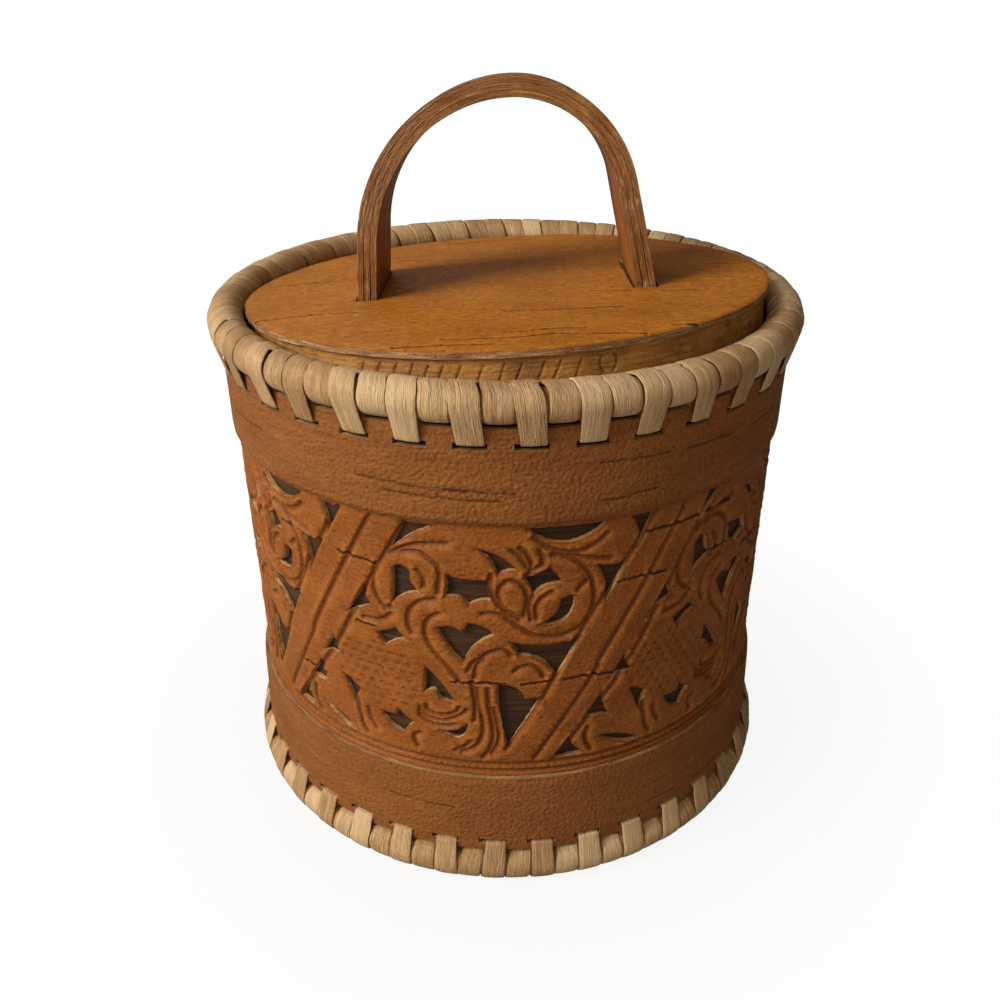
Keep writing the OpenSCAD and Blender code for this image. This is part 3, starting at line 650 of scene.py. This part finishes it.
def markLine(x0, y0, x1, y1, drift=0.07):
    # a fine crack that wanders a little on its way
    out, off = [], 0.0
    for t in np.linspace(0, 1, max(2, int(math.dist((x0, y0), (x1, y1)) / 0.25))):
        off += random.uniform(-drift, drift)
        out.append((x0 + (x1 - x0) * t, y0 + (y1 - y0) * t + off))
    return out


# Unevenness of a band: size, height and seed of its swells, and its cracks
band = dict(wide=(16, 0.16, 3.0), small=(4, 0.07, 5.0), high=0.05, crack=0.15, crackWide=0.3, crackTone=0.5,
            bevelReach=0.6, relief=0.4, flareFoot=11.5, seam=0.2, edgeStep=0.6, mesh=(0.5, 2.0, 1.0))


def plainBand(name, outR, inR, low, high, seam, materials, nodes, bevel=(0, 0), flare=0.0, shift=0.0,
              marks=((60, 0, 60.3, 0),)):
    # marks: fine cracks, mm round the wall from the front and height; the usual one lies off the sheet
    turn = 2 * math.pi * box["wallR"]
    edge = seam / 360 * turn
    left, right = edge - turn + band["seam"], edge - band["seam"]
    loops = [closedLoop([(left, low), (right, low), (right, high), (left, high)], 1.0)]
    loops += slitLoops(box["wallR"], low, high, edge, shift)
    lines = np.array([point for mark in marks for point in markLine(*mark)])

    def height(flat):
        z = flat[:, 1]
        rise = wobble(flat, *band["wide"]) + wobble(flat, *band["small"])
        crack = bell(nearest(flat, lines), band["crackWide"])
        rise = np.minimum(rise, band["high"]) - band["crack"] * crack
        if bevel[0]:
            rise -= bevel[0] * bell(z - low, band["bevelReach"])
        if bevel[1]:
            rise -= bevel[1] * bell(high - z, band["bevelReach"])
        # the relief puts painted shade into the hollows, cracks and bevelled edges
        return rise, dict(relief=np.clip(rise / band["relief"], -0.4, 1), crack=band["crackTone"] * crack)

    def radius(flat):
        return outR + flare * np.clip((high - flat[:, 1]) / (high - band["flareFoot"]), 0, 1)

    ends = np.array([(x, z) for x in np.arange(edge - turn, edge, band["edgeStep"]) for z in (low, high)])
    sheet = cutSheet(loops, np.vstack([ends, lines]), *band["mesh"], height, tube(radius, turn), outR - inR)
    return build(name, sheet, materials, "box", nodes)


plainBand("upperBand", box["upperR"], box["bandIn"], box["upperLow"], box["wallTop"], seams["upper"],
          [bandBark, tornBark], ["upper_band"], bevel=(0.45, 0),
          marks=[(-30, 105.4, -4, 104.2), (-24, 103.4, -1, 102.8), (-12, 104.9, 2, 104.4),
                 (18, 109.8, 33, 109.2), (38, 109, 51, 108.5), (58, 108, 71, 107.4), (19, 101.5, 31, 101.2),
                 (-74, 106, -58, 107), (110, 104, 131, 103), (-150, 108, -124, 107), (172, 102, 190, 102.5)])
plainBand("lowerBand", box["lowerR"], box["bandIn"], box["wallFoot"], box["lowerTop"], seams["lower"],
          [bandBark, tornBark], ["lower_band"], bevel=(0, 0.45),
          flare=box["footR"] - box["lowerR"],
          marks=[(34, 15.6, 43, 15), (50, 14, 60, 14.4), (-28, 22, -12, 21.4), (100, 18, 124, 19),
                 (-130, 24, -108, 23.5), (160, 15, 178, 14.6)])
plainBand("linerTube", box["linerR"], box["linerIn"], box["wallFoot"], box["wallTop"], seams["liner"],
          [linerBark, linerBark], ["inner_wall"], shift=-lace["slant"] / 2)
print("bands and liner made")


def touch(q, r, side):
    # where the line from q touches the circle of radius r
    a = math.atan2(q[1], q[0]) + side * math.acos(r / math.hypot(*q))
    return (r * math.cos(a), r * math.sin(a))


# A strip in mm: how its ends turn in through the slits, and the play between it and the layers
strip = dict(play=0.05, overlap=0.2, endIn=0.5, turnIn=0.12, endUp=0.5, arcSteps=26, legSteps=6,
             across=(-1, -0.93, -0.75, -0.4, 0, 0.4, 0.75, 0.93, 1), longLift=0.06, shortLift=0.02,
             shortStray=0.05, width=(0.97, 1.05), taper=(0.06, 0.16), lean=(-1.2, 3.2), ragged=0.025,
             raggedSize=2.5, cup=0.07, ripple=0.05, rippleSize=3)


def legPoints(start, end):
    # points between the two, without either
    n = strip["legSteps"]
    return [tuple(np.array(start) + (np.array(end) - start) * k / n) for k in range(1, n)]


def stitchPath(laced, tail, lift, a):
    # middle of a strip in [radius, height] about the rim's middle, from inside the wall out, over and in
    t, play = lace["thick"], strip["play"]
    inwards, turned, up = strip["endIn"], strip["turnIn"], strip["endUp"]
    mid = (laced["outR"] + box["linerIn"]) / 2 - laced["centreR"]
    r = laced["rollR"] - t / 2 + lift + laced["swell"] * atFront(a)
    outX = laced["outR"] + t / 2 + play + lift - laced["centreR"]
    inX = box["linerIn"] - t / 2 - play - laced["centreR"]
    z = t / 2 - tail
    a0 = math.atan2(*touch((outX, z), r, 1)[::-1])
    a1 = math.atan2(*touch((inX, z), r, -1)[::-1])
    if a1 < a0:
        a1 += 2 * math.pi
    arc = [(r * math.cos(b), r * math.sin(b)) for b in np.linspace(a0, a1, strip["arcSteps"])]
    outer = [(mid + strip["overlap"], z), (outX - inwards, z), (outX - turned, z + turned), (outX, z + up)]
    inner = [(inX, z + up), (inX + turned, z + turned), (inX + inwards, z), (mid - strip["overlap"], z)]
    return np.array(outer + legPoints(outer[-1], arc[0]) + arc + legPoints(arc[-1], inner[0]) + inner)


def unit(rows):
    return rows / np.linalg.norm(rows, axis=1)[:, None]


def sideways(path):
    # unit normals of a path, to its right
    step = unit(np.diff(path, axis=0))
    tangent = unit(np.vstack([step[:1], step[:-1] + step[1:], step[-1:]]))
    return np.column_stack([tangent[:, 1], -tangent[:, 0]])


def lengthsAlong(path):
    return np.concatenate([[0], np.cumsum(np.linalg.norm(np.diff(path, axis=0), axis=1))])


def hose(start, count, ring, turnedOver):
    # faces of a tube whose points come ring by ring, and its two end caps
    last = start + (count - 1) * ring
    faces = [(here + j, here + (j + 1) % ring, here + ring + (j + 1) % ring, here + ring + j)
             for here in range(start, last, ring) for j in range(ring)]
    faces += [tuple(range(start, start + ring))[::-1], tuple(range(last, last + ring))]
    return [f[::-1] for f in faces] if turnedOver else faces


def strips(name, laced, half, tail, nodes, seed):
    # one row of stitches, each cut from the flat with its own width, taper, lean and tone
    s = strip
    dice = random.Random(seed)
    across = np.array(s["across"])
    ring = 2 * len(across)
    points, place, tones, faces = [], [], [], []
    for a in stitchAngles(laced, half):
        lift = s["longLift"] if half == 0 else -s["shortLift"] - dice.uniform(0, s["shortStray"])
        path = stitchPath(laced, tail, lift, a)
        run = lengthsAlong(path)
        wide = math.radians(stripAngle(laced)) / 2 * dice.uniform(*s["width"])
        taper, lean = dice.uniform(*s["taper"]), dice.uniform(*s["lean"])
        offset, tone = dice.uniform(0, 40), dice.random()
        raised = laced["centreZ"] + laced["lift"] * atFront(a)
        start = len(points)
        for p, n, along in zip(path, sideways(path), run):
            t = along / run[-1]
            # straight down outside, slanted towards the next hole inside
            shift = -lace["slant"] * max(0.0, min(1.0, (t - 0.4) / 0.4)) + lean * (0.25 - t) * (t < 0.5)
            narrow = (1 - taper * max(0.0, 1 - 3 * t)
                      + s["ragged"] * noise.noise((along / s["raggedSize"], offset, 1)))
            for side in (1, -1):
                for w in across * side:
                    # rounded edges, a slightly hollow back and a ripple along the fibre
                    thin = 1 - 0.5 * abs(w) ** 14
                    high = (side * lace["thick"] / 2 * thin - s["cup"] * abs(w) ** 3
                            + s["ripple"] * noise.noise((along / s["rippleSize"], 2 * w, offset)))
                    r = laced["centreR"] + p[0] + n[0] * high
                    z = raised + laced["sign"] * (p[1] + n[1] * high)
                    angle = math.radians(a + shift) + w * wide * narrow
                    points.append((r * math.sin(angle), -r * math.cos(angle), max(z, 0.0)))
                    place.append((along, w * wide * narrow * r + offset, offset + side))
                    tones.append(tone)
        faces += hose(start, len(path), ring, laced["sign"] < 0)
    sheet = dict(points=points, faces=faces, place=np.array(place), values=dict(tone=np.array(tones)))
    return build(name, sheet, [laceBast], "box", nodes)


strips("rimStitchesLong", rim, 0, rim["long"], ["rim_lacing_long"], 11)
strips("rimStitchesShort", rim, 0.5, rim["short"], ["rim_lacing_short"], 12)
strips("footStitchesLong", foot, 0, foot["long"], ["foot_lacing_long"], 13)
strips("footStitchesShort", foot, 0.5, foot["short"], ["foot_lacing_short"], 14)
print("lacing made")


lid = dict(r=61.85, thick=1.5, z=126.75, tiltFront=4.1, tiltRight=2.6, collarR=60.65, collarThick=1.6,
           collarDeep=12, slotLong=31.7, slotWide=5.15, slotDepth=2.2, slotLoose=0.1, slotTorn=(0.7, 0.9),
           nickSteps=420, nickHigh=0.3, wideSwell=(22, 0.2, 7), smallSwell=(6, 0.05, 8), crack=0.34,
           crackWide=0.4, lip=0.16, lipAt=0.75, lipWide=0.3, edge=0.35, edgeReach=0.8, relief=0.5,
           mesh=(0.28, 1.68, 0.9))
collar = dict(joint=0.46, seam=0.1, edgeStep=0.8, tickFrom=-30.0, tickTo=15, tickTop=-3, tickFoot=-6.7,
              tickLean=1.5, tickGap=(2.7, 4.4), knot=20, knotZ=-4.6, groove=0.25, grooveWide=0.22, tone=0.28,
              swell=(9, 0.16, 9), roughFrom=23, roughTo=-34, rough=0.22, smooth=0.1, sunk=0.05, relief=0.3,
              mesh=(0.3, 1.5, 0.8))
handle = dict(high=45.5, crownX=2.9, bend={-1: 35.4, 1: 27.8}, splay={-1: 5.5, 1: 10.3}, ply=1.45, step=1.5,
              footWide=31, crownWide=21, shoulder=12, footZ=-12.5, footClear=0.3, legSteps=30, arcSteps=42,
              across=(0, 0.28, 0.55, 0.8, 0.94, 0.985, 1), inset=0.3, proud=0.025, partAt=2, partReach=16)
lidFrame = (Matrix.Translation((0, 0, lid["z"])) @ Matrix.Rotation(math.radians(-lid["tiltRight"]), 4, "Y")
            @ Matrix.Rotation(math.radians(-lid["tiltFront"]), 4, "X"))


def legX(side, depth, z):
    # where a leg stands at height z, measured on its face depth mm under the outer one
    r, s = handle["bend"][side] - depth, math.radians(handle["splay"][side])
    high = handle["high"] - handle["bend"][side] + r * math.sin(s)
    return handle["crownX"] + side * (r * math.cos(s) + (high - z) * math.tan(s))


def moved(points, matrix):
    m = np.array(matrix)
    return np.asarray(points) @ m[:3, :3].T + m[:3, 3]


lidCracks = [  # on the top of the lid: x and y of each point in mm from its middle
    [-17, 50.5, -3, 54, 12, 52.5, 26, 51], [-31, 30, -20, 29, -10, 28], [-57, 4, -47, 7, -37, 7.5],
    [-54, -30, -42, -26.5, -31, -27], [0, -31.5, 12, -32, 25, -32], [0, -49, 8, -48, 16, -48.5],
    [-12, -52, 3, -53, 10, -51.5, 27, -54], [-21, -56.5, -12, -56, -2, -57], [20, -16.5, 28, -17.5],
    [35, -20, 43, -20], [35, -5.5, 45, -8, 58, -10.5], [50, 6.5, 58, 4], [33, -49, 41, -48.5],
]


def lidTop():
    circle = np.array([(math.cos(a), math.sin(a))
                       for a in np.linspace(0, 2 * math.pi, lid["nickSteps"], endpoint=False)])
    nick = np.array([0.22 * noise.noise((x * 14, y * 14, 2)) + 0.12 * noise.noise((x * 50, y * 50, 4))
                     for x, y in circle])
    high = lid["nickHigh"]
    loops = [circle * (lid["r"] - high + np.minimum(nick, high))[:, None]]
    for side in (-1, 1):
        x = legX(side, lid["slotDepth"], -lid["thick"] / 2)
        w, l = lid["slotWide"] / 2 + lid["slotLoose"], lid["slotLong"] / 2
        # the cut of the right leg runs wide on its inner side
        torn = [t * (side > 0) for t in lid["slotTorn"]]
        loops.append(closedLoop([(x - w - torn[0], -l), (x + w, -l), (x + w, l), (x - w - torn[1], l)], 1.0))
    cracks = np.array([point for line in lidCracks for k in range(0, len(line) - 2, 2)
                       for point in markLine(*line[k:k + 4])])

    def height(flat):
        toCrack = nearest(flat, cracks)
        toEdge = lid["r"] - np.hypot(flat[:, 0], flat[:, 1])
        split = bell(toCrack, lid["crackWide"])
        rise = (-lid["crack"] * split - lid["edge"] * bell(toEdge, lid["edgeReach"])
                + wobble(flat, *lid["wideSwell"]) + wobble(flat, *lid["smallSwell"]))
        # a low lip beside each crack, which the relief lightens with a painted highlight; the cracks and the
        # edge get painted shade
        rise = rise + lid["lip"] * bell(toCrack - lid["lipAt"], lid["lipWide"])
        return rise, dict(relief=np.clip(rise / lid["relief"], -1, 1), crack=split)

    def flatOn(flat, depth):
        return moved(np.column_stack([flat, depth]), lidFrame)

    guides = np.vstack([cracks, circle * lid["r"]])
    sheet = cutSheet(loops, guides, *lid["mesh"], height, flatOn, lid["thick"])
    return build("lidTop", sheet, [lidBark, tornBark], "lid", ["lid_sheet"])


def lidCollar():
    c = collar
    turn = 2 * math.pi * lid["collarR"]
    edge = c["joint"] * turn
    left, right, top = edge - turn + c["seam"], edge - c["seam"], -lid["thick"]
    low = top - lid["collarDeep"]
    loops = [closedLoop([(left, low), (right, low), (right, top), (left, top)], c["edgeStep"])]
    ticks, u = [], c["tickFrom"]
    while u < c["tickTo"]:
        # pricked strokes at the front only
        z0, z1 = c["tickTop"] + random.uniform(-0.3, 0.3), c["tickFoot"] + random.uniform(-0.4, 0.4)
        ticks += [(u + c["tickLean"] * (1 - t), z0 + (z1 - z0) * t) for t in np.linspace(0, 1, 16)]
        u += random.uniform(*c["tickGap"])
    # a knot right of them, round a pale spot on the bark: only its two curved slits are drawn
    ticks += [(c["knot"] + side * (1.7 + 0.3 * math.sin(a)) * math.cos(a), c["knotZ"] + 2 * math.sin(a))
              for side in (-1, 1) for a in np.linspace(-0.9, 0.9, 14)]
    ticks = np.array(ticks)

    def height(flat):
        groove = bell(nearest(flat, ticks), c["grooveWide"])
        rough = np.where((flat[:, 0] > c["roughFrom"]) | (flat[:, 0] < c["roughTo"]), c["rough"], c["smooth"])
        rise = (-c["groove"] * groove + wobble(flat, *c["swell"]) + rough * wobble(flat, 2.2, 1.0, 10)
                - c["sunk"])
        # the relief puts painted shade into the ticks and hollows and a painted highlight on the bumps
        return rise, dict(relief=np.clip(rise / c["relief"], -1, 1), crack=groove * c["tone"])

    def onLid(flat, depth):
        return moved(tube(lid["collarR"], turn)(flat, depth), lidFrame)

    sheet = cutSheet(loops, ticks, *c["mesh"], height, onLid, lid["collarThick"])
    return build("lidCollar", sheet, [collarBark, tornBark], "lid", ["lid_collar"])


lidTop()
lidCollar()
print("lid made")


def ply(name, n, materials, node):
    # one ply of the strap, n plies under the outer one
    h = handle
    t = h["ply"]
    depth = n * h["step"] + t / 2
    halves = []
    for side in (-1, 1):
        bend, splay = h["bend"][side], math.radians(h["splay"][side])
        r, centre = bend - depth, h["high"] - bend
        x, z = side * r * math.cos(splay), centre + r * math.sin(splay)
        length = (z - h["footZ"] - h["footClear"]) / math.cos(splay)
        leg = [(x + side * k * math.sin(splay), z - k * math.cos(splay))
               for k in np.linspace(length, 0, h["legSteps"])]
        arc = [(side * r * math.cos(a), centre + r * math.sin(a))
               for a in np.linspace(splay, math.pi / 2, h["arcSteps"])[1:]]
        halves.append(leg + arc)
    path = np.array(halves[0] + halves[1][-2::-1]) + (h["crownX"], 0)
    across = np.array([-w for w in h["across"][:0:-1]] + list(h["across"]))
    ring = 2 * len(across)
    points, place = [], []
    for p, out, s in zip(path, -sideways(path), lengthsAlong(path)):
        up = max(0.0, min(1.0, (p[1] - h["shoulder"]) / (h["high"] + 1 - h["shoulder"])))
        wide = h["footWide"] / 2 + (h["crownWide"] - h["footWide"]) / 2 * up
        # near the feet the plies part
        parted = max(0.0, 1 - abs(p[1] - h["partAt"]) / h["partReach"])
        for side in (1, -1):
            for w in across * side:
                # the three plies were cut together, so their edges wander as one
                end = np.sign(w)
                ragged = (0.35 * noise.noise((s / 9, 5 * end, 3)) + 0.1 * noise.noise((s / 2, end, n * 3 + 1))
                          + 0.6 * parted * noise.noise((s / 4, 4 * end, n * 9 + 2)))
                y = w * (wide - h["inset"] + ragged)
                lift = side * (t / 2 + h["proud"] - (0.04 + 0.1 * parted) * abs(w) ** 24)
                # only the two outer faces of the strap are uneven
                shown = n == 0 and side > 0 or n == 2 and side < 0
                lift += 0.03 * noise.noise((s / 4, w * 3, n * 5 + side)) * shown
                points.append((p[0] + out[0] * lift, y, p[1] + out[1] * lift))
                place.append((s, y, n * h["step"] + lift))
    # the second material goes to the edges and ends
    slots = [0 if 3 <= j % len(across) <= 8 else 1 for j in range(ring)] * (len(path) - 1) + [1, 1]
    sheet = dict(points=moved(points, lidFrame), faces=hose(0, len(path), ring, True), place=np.array(place),
                 slots=slots)
    return build(name, sheet, materials, "lid", [node])


ply("handleOuter", 0, [handleBark, handleBark], "handle_outer_ply")
ply("handleCore", 1, [handleBark, handleBark], "handle_core_ply")
ply("handleInner", 2, [handleFace, handleBark], "handle_inner_ply")
print("handle made")


# Solids that stay as they are and only get a material
hoops = ["rim_hoop_outer", "rim_hoop_inner", "foot_hoop_outer", "foot_hoop_inner"]
for material, nodeNames in ((pineWood, ["bottom_board", "lid_core", "handle_pegs"]),
                            (liningBark, ["lid_lining"]), (witheWood, hoops)):
    for nodeName in nodeNames:
        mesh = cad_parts[nodeName].data
        mesh.materials.clear()
        mesh.materials.append(material)
print("plain pieces finished")
